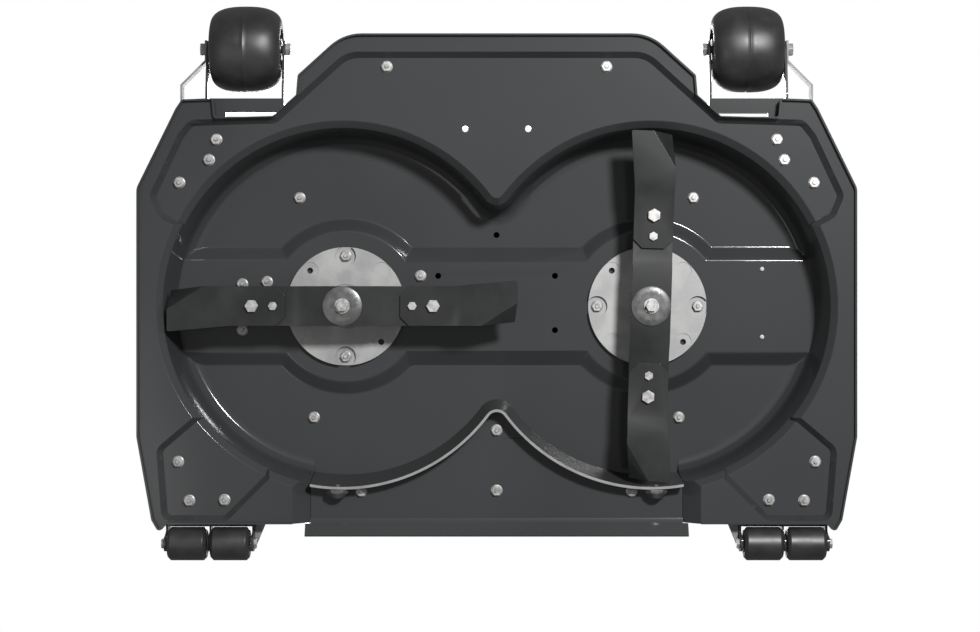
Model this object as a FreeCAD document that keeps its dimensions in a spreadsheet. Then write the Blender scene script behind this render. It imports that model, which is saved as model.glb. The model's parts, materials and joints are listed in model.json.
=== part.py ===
# Twin-blade lawn mower deck, drawn from sheet steel, with its timed blade drive.
# It stands on two gauge wheels at the front and two pairs of rollers at the back.
# +Z is up, +Y is the front, and the ground is z = 0. Every length is in millimetres.
import FreeCAD
import Part
import Sketcher
import math
import os
from types import SimpleNamespace
from FreeCAD import Placement, Rotation, Vector

# Driving sizes

SIZES = {
    # the drawn deck shell, with heights above the ground
    "sheet": 3.0,
    "side_band": 39.0,
    "front_apron": 147.5,
    "rear_apron": 60.0,
    "lip_height": 15.0,
    "band_height": 23.0,
    "flat_height": 35.0,
    "panel_height": 50.0,
    "top_height": 135.0,
    "cusp_radius": 20.0,
    "wall_draft": 6.0,
    "wall_bend": 25.0,
    "crest_chamfer": 11.0,
    "step_run": 9.0,
    "bar_depth": 14.0,
    "bar_width": 154.0,
    "bar_slope": 21.0,
    "boss_radius": 125.0,
    "tunnel_ease": 53.0,
    "tunnel_flare": 27.0,
    "baffle_thickness": 4.5,
    "baffle_height": 22.0,
    "baffle_gap": 0.3,
    "panel_thickness": 2.5,
    "flange_reach": 22.0,
    "flange_drop": 15.0,
    "knob_flats": 33.0,
    "knob_length": 14.5,
    "knob_stem": 5.0,
    # the two spindles
    "disc_radius": 98.0,
    "disc_thickness": 10.0,
    "disc_bolt_circle": 167.0,
    "pocket_radius": 17.0,
    "pocket_depth": 6.0,
    "bearing_radius": 26.0,
    "bearing_width": 15.0,
    "bearing_shoulder": 20.0,
    "bearing_inset": 1.0,
    "bearing_slack": 0.05,
    "housing_wall": 8.0,
    "housing_base": 62.0,
    "housing_top": 166.0,
    "shaft_radius": 12.5,
    "hub_radius": 28.0,
    "hub_height": 10.0,
    "running_gap": 0.5,
    # the timed drive over the deck
    "tooth_pitch": 8.0,
    "tooth_count": 36,
    "tooth_depth": 3.4,
    "belt_back": 2.2,
    "belt_width": 22.0,
    "belt_slack": 0.3,
    "pulley_height": 172.0,
    "pulley_flange": 2.0,
    "idler_radius": 18.0,
    "idler_bolt_radius": 6.0,
    "sheave_radius": 62.0,
    "sheave_width": 18.0,
    "sheave_groove": 12.0,
    "sheave_height": 224.0,
    "cover_setback": 130.0,
    "waist_depth": 32.0,
    "cover_mouth": 40.0,
    "cover_wall": 2.5,
    "cover_height": 218.0,
    "cover_rim": 12.0,
    "cover_draft": 6.0,
    # the blades
    "blade_height": 30.0,
    "blade_length": 567.0,
    "blade_overlap": 67.0,
    "tip_clearance": 8.5,
    "carrier_width": 64.5,
    "carrier_thickness": 6.0,
    "carrier_length": 334.0,
    "carrier_joggle": 8.0,
    "tip_thickness": 5.0,
    "tip_start": 93.5,
    "tip_bend": 182.0,
    "tip_drop": 9.0,
    "tip_flare": 9.0,
    "wing_angle": 40.0,
    "pivot_reach": 147.0,
    "pivot_radius": 6.0,
    "shear_reach": 113.0,
    "shear_radius": 4.0,
    "cup_radius": 32.25,
    "blade_bolt_radius": 6.0,
    "left_blade_turn": 0.0,
    "right_blade_turn": 91.9,
    # the gauge wheels
    "wheel_radius": 70.0,
    "wheel_width": 115.0,
    "wheel_inset": 172.0,
    "wheel_setback": 19.5,
    "wheel_axle_radius": 6.35,
    "wheel_slack": 0.06,
    "wheel_gap": 2.5,
    "wheel_shoulder": 28.0,
    "bracket_plate": 4.0,
    "brace_thickness": 3.5,
    "notch_setback": 114.0,
    "cross_bar_depth": 23.0,
    "brace_inset": 68.0,
    # the rear rollers
    "roller_radius": 27.0,
    "roller_length": 63.0,
    "roller_gap": 6.0,
    "middle_cheek": 2.5,
    "roller_inset": 116.0,
    "roller_reach": 32.0,
    "roller_axle_radius": 5.0,
    # fasteners and hangers
    "nut_flats": 15.0,
    "nut_height": 7.0,
    "neck": 7.0,
    "neck_slack": 0.2,
    "head_height": 5.0,
    "hanger_plate": 4.0,
    "hanger_bore_radius": 6.5,
    "hanger_setback": 51.5,
    "hanger_half": 178.0,
    "drain_radius": 5.0,
    "drain_side": 51.0,
    "drain_setback": 5.0,
    "screw_flats": 6.0,
}

document = FreeCAD.newDocument("mower_deck")
sheet = document.addObject("Spreadsheet::Sheet", "Sizes")
for row, (alias, number) in enumerate(SIZES.items(), start=1):
    sheet.set(f"A{row}", alias)
    sheet.set(f"B{row}", str(number))
    sheet.setAlias(f"B{row}", alias)
document.recompute()


class Term:
    """A size of the sheet, or a sum worked out from sizes: its value now and its formula."""

    def __init__(self, value, text):
        self.value = float(value)
        self.text = text

    def __float__(self):
        return self.value

    def __add__(self, other):
        return Term(self.value + float(other), f"({self.text} + {written(other)})")

    def __radd__(self, other):
        return Term(float(other) + self.value, f"({written(other)} + {self.text})")

    def __sub__(self, other):
        return Term(self.value - float(other), f"({self.text} - {written(other)})")

    def __rsub__(self, other):
        return Term(float(other) - self.value, f"({written(other)} - {self.text})")

    def __mul__(self, other):
        return Term(self.value * float(other), f"({self.text} * {written(other)})")

    def __rmul__(self, other):
        return Term(float(other) * self.value, f"({written(other)} * {self.text})")

    def __truediv__(self, other):
        return Term(self.value / float(other), f"({self.text} / {written(other)})")

    def __neg__(self):
        return Term(-self.value, f"(0 - {self.text})")


def written(number):
    return number.text if isinstance(number, Term) else repr(float(number))


s = SimpleNamespace(**{alias: Term(sheet.get(alias), "Sizes." + alias) for alias in SIZES})

# Places that several pieces share

# The origin is under the middle of the whole deck, so the line through both spindles lies
# half the difference between the front and rear reach away from it.
chamber_radius = s.blade_length / 2 + s.tip_clearance
spindle_side = (s.blade_length - s.blade_overlap) / 2
deck_side = spindle_side + chamber_radius + s.side_band
deck_width = deck_side * 2
deck_front = chamber_radius + s.front_apron
deck_rear = chamber_radius + s.rear_apron
tunnel_half = spindle_side + s.tunnel_ease
cover_radius = chamber_radius - s.cover_setback
wheel_side = deck_side - s.wheel_inset
wheel_ahead = deck_front - s.wheel_setback
cross_bar_ahead = deck_front - s.notch_setback
roller_side = deck_side - s.roller_inset
roller_behind = deck_rear + s.roller_reach
hanger_ahead = deck_front - s.hanger_setback
drain_ahead = chamber_radius - s.drain_setback
spindle_line = (roller_behind + s.roller_radius - wheel_ahead - s.wheel_radius) / 2
flat_top = s.flat_height + s.sheet
top_face = s.top_height + s.sheet
boss_height = s.top_height - s.bar_depth
disc_face = boss_height - s.disc_thickness
pitch_radius = s.tooth_pitch * s.tooth_count / (2 * math.pi)
tip_circle = pitch_radius - 0.7
root_circle = tip_circle - s.tooth_depth
hub_hole = s.bearing_radius + s.housing_wall + 12.0
carrier_top = s.blade_height + s.carrier_thickness
end_height = s.blade_height + s.carrier_joggle
wheel_inner = wheel_side - s.wheel_width / 2 - s.wheel_gap
wheel_outer = wheel_side + s.wheel_width / 2 + s.wheel_gap
roller_half = s.roller_length + s.roller_gap / 2


def by_front_corner(inset, setback):
    return float(deck_side) - inset, float(deck_front) - setback


def by_rear_corner(inset, setback):
    return float(deck_side) - inset, setback - float(deck_rear)


def by_chamber(gap, angle):
    """A spot outside the left chamber's wall, by its gap to the wall and its direction."""
    reach = float(chamber_radius) + gap
    return (float(spindle_side) + reach * math.cos(math.radians(angle)),
            reach * math.sin(math.radians(angle)))


def by_spindle(across, ahead):
    """A spot on the sunken bar, by its distance outside the nearer spindle."""
    side = math.copysign(float(spindle_side), across)
    return side + across, ahead


wheel_bolt_spots = [by_front_corner(127.0, 169.5), by_front_corner(115.0, 202.5),
                    by_front_corner(67.0, 239.5)]
roller_bolt_spots = [by_rear_corner(65.0, 100.0), by_rear_corner(83.0, 37.0), by_rear_corner(140.0, 38.0)]
lift_spots = {
    "front": (float(spindle_side) + 78.0, float(chamber_radius) - 111.0),
    "rear": (float(spindle_side) + 54.0, 107.0 - float(chamber_radius)),
}
panel_bolt_side = float(spindle_side) - 30.0
panel_bolt_behind = -float(chamber_radius) - 9.0
panel_bolt_spots = [(panel_bolt_side, panel_bolt_behind), (0.0, panel_bolt_behind + 1.0),
                    (-panel_bolt_side, panel_bolt_behind)]
knob_side = float(spindle_side) + 8.0
knob_height = 33.0
cover_reach = float(cover_radius)
cover_nut_spots = [by_spindle(cover_reach + 10.0, 37.0), by_spindle(cover_reach + 10.0, -39.0)]
cover_screw_spots = [by_spindle(-cover_reach - 29.0, 62.0), by_spindle(-cover_reach - 29.0, -51.0)]
cover_spots = cover_nut_spots + cover_screw_spots
inner_side = float(spindle_side) - 153.0
idler_bolt_ahead = 50.6
idler_side = spindle_side - 124.0
plug_spot = by_spindle(cover_reach - 31.0, 41.0)
vent_spots = [(0.0, 119.0), (inner_side, idler_bolt_ahead), (-inner_side, idler_bolt_ahead),
              (-inner_side, -39.5)]
screw_scale = float(s.screw_flats / s.nut_flats)

# How many flats stand for the bend between wall and top, and for the rounded shoulder of a wheel
BEND_STEPS = 3
SHOULDER_STEPS = 6

made = []

# Helpers


def keep(item, label):
    """Give a sub-part the name that its file will have."""
    item.Label = label
    made.append(item)
    return item


def set_size(item, **sizes):
    """Bind properties of an object to the sheet."""
    for name, value in sizes.items():
        if isinstance(value, Term):
            item.setExpression(name, value.text)
        else:
            setattr(item, name, value)


def place(item, x=0.0, y=0.0, z=0.0, turn=0.0):
    """Put a sub-part by its distance from the spindle line, with a turn about the vertical."""
    item.Placement = Placement(Vector(0, 0, 0), Rotation(Vector(0, 0, 1), float(turn)))
    y = spindle_line + y
    for axis, value in (("x", x), ("y", y), ("z", z)):
        item.setExpression("Placement.Base." + axis, written(value))
    return item


def origin_feature(body, role):
    for feature in body.Origin.OriginFeatures:
        if feature.Role == role:
            return feature
    raise ValueError(role)


def sketch_on(body, role, height=0.0):
    """A sketch on one of the body's own origin planes, lifted along the plane's normal."""
    sketch = body.newObject("Sketcher::SketchObject", "Sketch")
    sketch.AttachmentSupport = [(origin_feature(body, role), "")]
    sketch.MapMode = "FlatFace"
    if isinstance(height, Term):
        sketch.setExpression("AttachmentOffset.Base.z", height.text)
    return sketch


def hold(sketch, kind, where, value):
    """A dimension in a sketch, bound to its formula."""
    index = sketch.addConstraint(Sketcher.Constraint(kind, *where, float(value)))
    if isinstance(value, Term):
        name = f"size{index}"
        sketch.renameConstraint(index, name)
        sketch.setExpression("Constraints." + name, value.text)


def draw_outline(sketch, points):
    """A closed run of straight lines, each corner held by its two distances from the origin."""
    first = sketch.GeometryCount
    count = len(points)
    for index, (u, v) in enumerate(points):
        u_next, v_next = points[(index + 1) % count]
        start = Vector(float(u), float(v), 0)
        end = Vector(float(u_next), float(v_next), 0)
        sketch.addGeometry(Part.LineSegment(start, end))
    for index in range(count):
        after = first + (index + 1) % count
        sketch.addConstraint(Sketcher.Constraint("Coincident", first + index, 2, after, 1))
    for index, (u, v) in enumerate(points):
        hold(sketch, "DistanceX", (-1, 1, first + index, 1), u)
        hold(sketch, "DistanceY", (-1, 1, first + index, 1), v)


def draw_circle(sketch, u, v, radius):
    index = sketch.addGeometry(Part.Circle(Vector(float(u), float(v), 0), Vector(0, 0, 1), float(radius)))
    hold(sketch, "DistanceX", (-1, 1, index, 3), u)
    hold(sketch, "DistanceY", (-1, 1, index, 3), v)
    hold(sketch, "Radius", (index,), radius)


def turned(label, profile, axis="V_Axis"):
    """A turned body. The profile is drawn upright: across and up, turned about one of the two."""
    body = document.addObject("PartDesign::Body", label)
    sketch = sketch_on(body, "XZ_Plane")
    draw_outline(sketch, profile)
    lathe = body.newObject("PartDesign::Revolution", "Turning")
    lathe.Profile = sketch
    lathe.ReferenceAxis = (sketch, [axis])
    lathe.Angle = 360
    return keep(body, label)


def folded(label, role, outline, width):
    """A folded strip, drawn on edge on one of the origin planes, as wide to either side of it."""
    body = document.addObject("PartDesign::Body", label)
    sketch = sketch_on(body, role)
    draw_outline(sketch, outline)
    strip = body.newObject("PartDesign::Pad", "Strip")
    strip.Profile = sketch
    strip.Midplane = True
    set_size(strip, Length=width)
    return keep(body, label)


def drill(body, height, depth, circles):
    """Round pockets cut upwards from a level."""
    sketch = sketch_on(body, "XY_Plane", height)
    for u, v, radius in circles:
        draw_circle(sketch, u, v, radius)
    pocket = body.newObject("PartDesign::Pocket", "Pocket")
    pocket.Profile = sketch
    pocket.Reversed = True
    set_size(pocket, Length=depth)
    return pocket


def ring_of(body, features, count):
    """The same features repeated round the body's upright axis."""
    document.recompute()
    pattern = body.newObject("PartDesign::PolarPattern", "Ring")
    pattern.Originals = features
    pattern.Axis = (origin_feature(body, "Z_Axis"), [""])
    pattern.Angle = 360
    pattern.Occurrences = int(float(count))
    body.Tip = pattern
    document.recompute()


def shaped(label, shape, x=0.0, y=0.0, z=0.0, turn=0.0):
    """A sub-part whose shape is worked out by a function from the sheet's sizes."""
    item = document.addObject("Part::Feature", label)
    item.Shape = shape
    place(item, x, y, z, turn)
    return keep(item, label)


def rounded(points, height=0.0):
    """A closed flat wire through corners given as x, y and corner radius."""
    corners = [(Vector(float(x), float(y), float(height)), float(radius)) for x, y, radius in points]
    ends = []
    for index, (corner, radius) in enumerate(corners):
        back = corners[index - 1][0] - corner
        ahead = corners[(index + 1) % len(corners)][0] - corner
        back.normalize()
        ahead.normalize()
        half = back.getAngle(ahead) / 2
        if radius <= 0 or abs(half - math.pi / 2) < 1e-6:
            ends.append((corner, None, corner))
            continue
        reach = radius / math.tan(half)
        inward = back + ahead
        inward.normalize()
        middle = corner + inward * (radius / math.sin(half) - radius)
        ends.append((corner + back * reach, middle, corner + ahead * reach))
    edges = []
    for index, (start, middle, end) in enumerate(ends):
        if middle is not None:
            edges.append(Part.Arc(start, middle, end).toShape())
        following = ends[(index + 1) % len(ends)][0]
        if (following - end).Length > 1e-6:
            edges.append(Part.makeLine(end, following))
    return Part.Wire(edges)


def both_sides(points):
    """A half outline for +X, from front to rear, carried on round the -X side."""
    return list(points) + [(-x, y, radius) for x, y, radius in reversed(points)]


def prism(wire, low, high):
    foot = wire.copy()
    foot.translate(Vector(0, 0, float(low)))
    return Part.Face(foot).extrude(Vector(0, 0, float(high) - float(low)))


def block(x_low, x_high, y_low, y_high, z_low, z_high):
    low = Vector(float(x_low), float(y_low), float(z_low))
    high = Vector(float(x_high), float(y_high), float(z_high))
    size = high - low
    return Part.makeBox(size.x, size.y, size.z, low)


def rod(radius, start, end):
    """A round bar between two points."""
    along = end - start
    return Part.makeCylinder(float(radius), along.Length, start, along)


def hexagon(flats, low, high, x=0.0, y=0.0):
    """A six-sided prism, upright, by its width across flats."""
    reach = float(flats) / math.sqrt(3)
    angles = [math.radians(60 * turn) for turn in range(7)]
    corners = [Vector(reach * math.cos(angle), reach * math.sin(angle), 0) for angle in angles]
    solid = prism(Part.makePolygon(corners), low, high)
    solid.translate(Vector(float(x), float(y), 0))
    return solid


def strap(points, thickness, low, high):
    """A bent strip on edge that follows a run of points, with its thickness to the left of it."""
    left = []
    for index, (x, y) in enumerate(points):
        before = Vector(*points[max(index - 1, 0)], 0)
        after = Vector(*points[min(index + 1, len(points) - 1)], 0)
        here = Vector(x, y, 0)
        into = here - before if index else after - here
        out = after - here if index < len(points) - 1 else into
        into.normalize()
        out.normalize()
        normal = Vector(-into.y - out.y, into.x + out.x, 0)
        normal.normalize()
        reach = float(thickness) / normal.dot(Vector(-into.y, into.x, 0))
        left.append(here + normal * reach)
    run = [Vector(x, y, 0) for x, y in points] + left[::-1]
    return prism(Part.makePolygon(run + run[:1]), low, high)


def side_plate(outline, x, thickness):
    """An upright plate, drawn as seen from the side, with its near face at x."""
    face = rounded(outline)
    face.rotate(Vector(0, 0, 0), Vector(1, 1, 1), 120)
    solid = Part.Face(face).extrude(Vector(float(thickness), 0, 0))
    solid.translate(Vector(float(x), 0, 0))
    return solid


def mirrored(shape):
    return shape.mirror(Vector(0, 0, 0), Vector(1, 0, 0))


# The drawn deck shell
# The hollow under the deck and the outside of the sheet are made alike, the outside one sheet
# thickness larger, and the shell is what lies between the two.


def tangent_reach(radius, small):
    """How far in front of the spindle line the centre of the cusp between both circles lies."""
    return math.sqrt((float(radius) + float(small)) ** 2 - float(spindle_side) ** 2)


def wall_levels(grow, plate):
    """Heights up the chamber wall, each with how far the wall has leaned in from its radius."""
    lean = math.radians(float(s.wall_draft))
    bend = float(s.wall_bend)
    centre = float(s.top_height) - bend
    upright = centre - float(s.band_height)
    inset = upright * math.tan(lean) + bend / math.cos(lean)
    levels = []
    for step in range(BEND_STEPS + 1):
        angle = lean + (math.pi / 2 - lean) * step / BEND_STEPS
        reach = bend + grow
        levels.append((centre + reach * math.sin(angle), inset - reach * math.cos(angle)))
    first_height, first_inset = levels[0]

    def on_wall(height):
        return height, first_inset - (first_height - height) * math.tan(lean)

    crest = float(s.crest_chamfer) - grow * (2 - math.sqrt(2))
    crest_top = on_wall(plate + crest)
    return [(plate, crest_top[1] - crest), crest_top] + levels


def figure_eight(levels):
    """Two round chambers that meet at a rounded cusp, front and rear, their walls leaning in."""
    radius = float(chamber_radius)
    small = float(s.cusp_radius)
    side = float(spindle_side)
    reach = tangent_reach(radius, small)
    corners = [Vector(-side, 0, 0), Vector(0, reach, 0), Vector(side, 0, 0), Vector(0, -reach, 0)]
    rings = []
    for (low, inset), (high, next_inset) in zip(levels, levels[1:]):
        upright = Vector(0, 0, 1)
        web = prism(Part.makePolygon(corners + corners[:1]), low, high)
        for y in (reach, -reach):
            web = web.cut(Part.makeCone(small + inset, small + next_inset, high - low,
                                        Vector(0, y, low), upright))
        cones = [Part.makeCone(radius - inset, radius - next_inset, high - low,
                               Vector(x, 0, low), upright) for x in (-side, side)]
        rings.append(cones[0].fuse([cones[1], web]).removeSplitter())
    return rings[0].fuse(rings[1:]).removeSplitter()


def chamber_form(grow, plate_height):
    """The ground under a plate together with the chamber pressed up out of it."""
    plate = float(plate_height) + grow
    beyond = float(deck_width)
    ground = block(-beyond, beyond, -beyond, beyond, -beyond, plate)
    return ground.fuse(figure_eight(wall_levels(grow, plate))).removeSplitter()


deck_outline = both_sides([
    (wheel_inner - 102.0, deck_front, 76.0),
    (wheel_inner - 28.0, deck_front - 67.0, 6.0),
    (wheel_inner - 25.0, deck_front - 102.5, 6.0),
    (wheel_inner + 11.0, cross_bar_ahead - 20.5, 5.0),
    (wheel_outer - 15.0, cross_bar_ahead - 20.5, 4.0),
    (wheel_outer - 12.0, cross_bar_ahead + 9.5, 4.0),
    (deck_side - 73.0, cross_bar_ahead + 7.5, 6.0),
    (deck_side - 63.0, cross_bar_ahead - 7.5, 6.0),
    (deck_side, deck_front - 249.5, 25.0),
    (deck_side, -deck_rear + 141.0, 25.0),
    (deck_side - 24.0, -deck_rear + 7.0, 8.0),
    (deck_side - 36.0, -deck_rear - 14.0, 6.0),
    (deck_side - 48.0, -deck_rear, 3.0),
    (tunnel_half + 20.0, -deck_rear, 3.0),
    (tunnel_half - 3.0, -deck_rear + 15.0, 3.0),
])

front_flat = both_sides([
    (wheel_inner - 109.0, deck_front - 37.5, 45.0),
    (wheel_inner + 8.0, cross_bar_ahead - 29.5, 14.0),
    (deck_side - 89.0, cross_bar_ahead - 33.5, 8.0),
    (deck_side - 73.0, cross_bar_ahead - 53.5, 8.0),
    (deck_side - 29.0, deck_front - 261.5, 10.0),
    (deck_side - 41.0, deck_front - 289.5, 8.0),
    (spindle_side + 50.0, 20.0, 0.0),
])

rear_pad = [
    (deck_side - 103.0, -deck_rear + 171.0, 6.0),
    (deck_side - 40.0, -deck_rear + 118.0, 12.0),
    (deck_side - 48.0, -deck_rear + 13.0, 8.0),
    (deck_side - 141.0, -deck_rear + 13.0, 10.0),
    (deck_side - 207.0, -deck_rear + 79.0, 6.0),
    (spindle_side + 50.0, -100.0, 0.0),
]


def recess(outline, grow):
    """A flat pressed up above the band round the deck, with a sloping step round it."""
    rise = float(s.flat_height - s.band_height)
    run = float(s.step_run)
    slope = math.atan2(rise, run)
    spread = grow * math.tan(slope / 2)
    low = float(s.band_height) + grow
    high = float(s.flat_height) + grow
    upper = rounded(outline, high)
    if spread:
        upper = upper.makeOffset2D(spread)
    lower = rounded(outline, low).makeOffset2D(run + spread)
    step = Part.makeLoft([lower, upper], True, True)
    over_crest = float(s.crest_chamfer) + 2.0
    return step.fuse([prism(upper, 0.0, over_crest), prism(lower, -over_crest, 0.0)])


def sunk_bar(lift):
    """The stiffening bar and the round bosses pressed down into the top, with sloping sides."""
    low = float(boss_height) + lift
    foot = float(s.top_height) + lift
    rise = float(s.bar_depth)
    run = float(s.bar_slope)
    half = float(s.bar_width) / 2
    reach = float(deck_width) / 2
    over = 1.5 * run
    corners = [(-half, low), (half, low), (half + over, low + rise * over / run),
               (-half - over, low + rise * over / run)]
    wire = Part.makePolygon([Vector(-reach, y, z) for y, z in corners + corners[:1]])
    bar = Part.Face(wire).extrude(Vector(2 * reach, 0, 0))
    radius = float(s.boss_radius)
    bosses = [Part.makeCone(radius, radius + over, foot - low + rise * 0.5,
                            Vector(side * float(spindle_side), 0, low), Vector(0, 0, 1))
              for side in (-1, 1)]
    return bar.fuse(bosses)


def tunnel(grow):
    """The passage from the chamber out at the back, its side walls flared at the foot."""
    half = float(tunnel_half) + grow
    flare = half + float(s.tunnel_flare)
    foot = float(s.band_height) + grow
    bend = float(s.panel_height) + grow
    top = float(s.top_height) + grow
    corners = [(-flare, 0.0), (flare, 0.0), (flare, foot), (half, bend), (half, top), (-half, top),
               (-half, bend), (-flare, foot)]
    front = float(s.cusp_radius) + 2 * float(s.wall_bend) - tangent_reach(chamber_radius, s.cusp_radius)
    rear = -float(deck_rear) - (0.0 if grow else float(deck_width))
    wire = Part.makePolygon([Vector(x, front, z) for x, z in corners + corners[:1]])
    return Part.Face(wire).extrude(Vector(0, rear - front, 0))


def deck_form(grow, outline):
    """The deck's form without its lip: side level, front flat, rear pads and chamber."""
    low = chamber_form(grow, s.band_height)
    high = chamber_form(grow, s.flat_height)
    above = float(s.top_height) * 2
    form = low.common(prism(outline, -above, above))
    for flat in (front_flat, rear_pad, [(-x, y, radius) for x, y, radius in reversed(rear_pad)]):
        form = form.fuse(high.common(recess(flat, grow)))
    form = form.fuse(tunnel(grow))
    return form.cut(sunk_bar(grow))


def square_hole(x, y, low, high, scale=1.0):
    half = (scale * float(s.neck) + float(s.neck_slack)) / 2
    return block(x - half, x + half, y - half, y + half, low, high)


def deck_shell():
    outline = rounded(deck_outline)
    outside = deck_form(float(s.sheet), outline)
    hollow = deck_form(0.0, outline.makeOffset2D(-float(s.sheet)))
    below = float(deck_width)
    shell = outside.cut(block(-below, below, -below, below, -2 * below, s.lip_height)).cut(hollow)
    low = float(s.band_height) - 2
    high = float(top_face) + 2
    tools = []
    for side in (-1, 1):
        for x, y in wheel_bolt_spots + roller_bolt_spots + list(lift_spots.values()):
            tools.append(square_hole(side * x, y, low, high))
        tools.append(square_hole(side * s.hanger_half, hanger_ahead, low, high))
        hub = rod(hub_hole, Vector(side * float(spindle_side), 0, low),
                  Vector(side * float(spindle_side), 0, high))
        tools.append(hub)
        ring = float(s.disc_bolt_circle) / 2
        for dx, dy in ((ring, 0), (-ring, 0), (0, ring), (0, -ring)):
            tools.append(square_hole(side * float(spindle_side) + dx, dy, low, high))
        tools.append(rod(s.drain_radius, Vector(side * float(s.drain_side), float(drain_ahead), low),
                         Vector(side * float(s.drain_side), float(drain_ahead), high)))
    for x, y in cover_nut_spots + [(idler_side, idler_bolt_ahead), plug_spot]:
        tools.append(square_hole(x, y, low, high))
    for x, y in cover_screw_spots:
        tools.append(square_hole(x, y, low, high, screw_scale))
    for x, y in vent_spots:
        tools.append(rod(s.drain_radius, Vector(x, y, low), Vector(x, y, high)))
    return shell.cut(Part.makeCompound(tools)).removeSplitter()


def bolt(x, y, under, over, flats=s.nut_flats):
    """A hexagon nut below, a square neck through the sheets and a hexagon head above."""
    x = float(x)
    y = float(y)
    scale = float(flats) / float(s.nut_flats)
    half = scale * float(s.neck) / 2
    under = float(under)
    over = float(over)
    nut = hexagon(flats, under - scale * float(s.nut_height), under, x, y)
    neck = block(x - half, x + half, y - half, y + half, under - 1, over + 1)
    return nut.fuse([neck, hexagon(flats, over, over + scale * float(s.head_height), x, y)])


def bolts(spots, under, over):
    return [bolt(x, y, under, over) for x, y in spots]


def both(spots):
    return [(side * float(x), float(y)) for side in (1, -1) for x, y in spots]


def with_square_holes(shape, spots, low, high, flats=s.nut_flats):
    scale = float(flats) / float(s.nut_flats)
    return shape.cut([square_hole(float(x), float(y), low, high, scale) for x, y in spots])


shaped("deck_shell", deck_shell())

# The rear: curved baffle, chute panel and what holds them


def eight_block(grow, low, high):
    """A solid figure eight with the lean of the chamber wall, larger than the chamber by grow."""
    lean = math.tan(math.radians(float(s.wall_draft)))
    base = float(s.band_height)
    low = float(low)
    high = float(high)
    return figure_eight([(low, (low - base) * lean - grow), (high, (high - base) * lean - grow)])


baffle_sheet = float(s.baffle_thickness)
panel_low = float(s.panel_height)
panel_top = panel_low + float(s.panel_thickness)
cusp_plate_top = panel_top + float(s.panel_thickness)
tunnel_wall = float(tunnel_half)
cusp_tip = -tangent_reach(chamber_radius, s.cusp_radius) + float(s.cusp_radius)
cusp_bolt_behind = cusp_tip - 35.3
baffle_gap = float(s.baffle_gap)
knob_face = -float(chamber_radius) - baffle_sheet - baffle_gap


def discharge_baffle():
    high = float(s.top_height)
    wall = eight_block(baffle_sheet, s.baffle_height, high).cut(eight_block(0.0, 0.0, 2 * high))
    rear_half = block(-tunnel_wall + 1, tunnel_wall - 1, -deck_rear, -s.bar_width, 0.0, 2 * high)
    wall = wall.common(rear_half)
    feet = []
    for x, y in panel_bolt_spots:
        if x:
            feet.append(block(x - 18, x + 18, y - 16, y + 30, panel_top, panel_top + baffle_sheet))
    feet.append(block(-13, 13, cusp_bolt_behind - 14, cusp_tip + 1, cusp_plate_top,
                      cusp_plate_top + baffle_sheet))
    feet = feet[0].fuse(feet[1:]).cut(eight_block(baffle_sheet / 2, 0.0, 2 * high))
    wall = wall.fuse(feet)
    spots = [spot for spot in panel_bolt_spots if spot[0]] + [(0.0, cusp_bolt_behind)]
    wall = wall.cut([knob_stem(side, float(s.neck_slack)) for side in (-1, 1)])
    return with_square_holes(wall, spots, panel_low, cusp_plate_top + 2 * baffle_sheet)


def knob_stem(side, slack=0.0):
    """The threaded stem of one knob, through the baffle from behind."""
    foot = Vector(side * knob_side, knob_face - 1, knob_height)
    inside = Vector(side * knob_side, 2 * baffle_sheet - float(chamber_radius) - 6, knob_height)
    return rod(float(s.knob_stem) + slack, foot, inside)


def baffle_knobs():
    """Six-sided clamping knobs behind the baffle, their corners turned down to a smaller face."""
    flats = float(s.knob_flats)
    length = float(s.knob_length)
    small = flats / 4
    turning = Part.makeCone(flats * 0.7, small, length, Vector(0, 0, 0), Vector(0, 0, 1))
    grip = hexagon(flats, 0.0, length).common(turning).removeSplitter()
    grip.rotate(Vector(0, 0, 0), Vector(1, 0, 0), 90)
    knobs = []
    for side in (-1, 1):
        knob = grip.copy()
        knob.translate(Vector(side * knob_side, knob_face, knob_height))
        knobs.append(knob.fuse(knob_stem(side)))
    return Part.makeCompound(knobs)


def rear_panel():
    thick = float(s.panel_thickness)
    rear = -float(deck_rear)
    reach = float(s.flange_reach)
    drop = float(s.flange_drop)
    half = tunnel_wall - 0.5
    plate = block(-half, half, rear + 6, cusp_bolt_behind - 14, panel_low, panel_top)
    corners = [(rear + 6, panel_top), (rear + 6, panel_low), (rear - 3, panel_low - 1),
               (rear - reach, panel_low - drop), (rear - reach + thick, panel_low - drop - thick),
               (rear + 1, panel_low - 1 - thick), (rear + 8, panel_low - thick + 1), (rear + 8, panel_top)]
    wire = Part.makePolygon([Vector(-half - 9, y, z) for y, z in corners + corners[:1]])
    flange = Part.Face(wire).extrude(Vector(2 * half + 18, 0, 0))
    flange = flange.cut([block(half, half + 20, rear - 1, 0, 0, 2 * panel_low),
                         block(-half - 20, -half, rear - 1, 0, 0, 2 * panel_low)])
    panel = plate.fuse(flange)
    inside = half - thick
    panel = panel.fuse([block(inside, half, rear + 6, rear + 60, panel_top - 1, panel_top + 28),
                        block(-half, -inside, rear + 6, rear + 60, panel_top - 1, panel_top + 28)])
    panel = panel.cut(eight_block(baffle_sheet + baffle_gap, 0.0, 2 * panel_low))
    return with_square_holes(panel, panel_bolt_spots, 0.0, 2 * panel_low)


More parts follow.
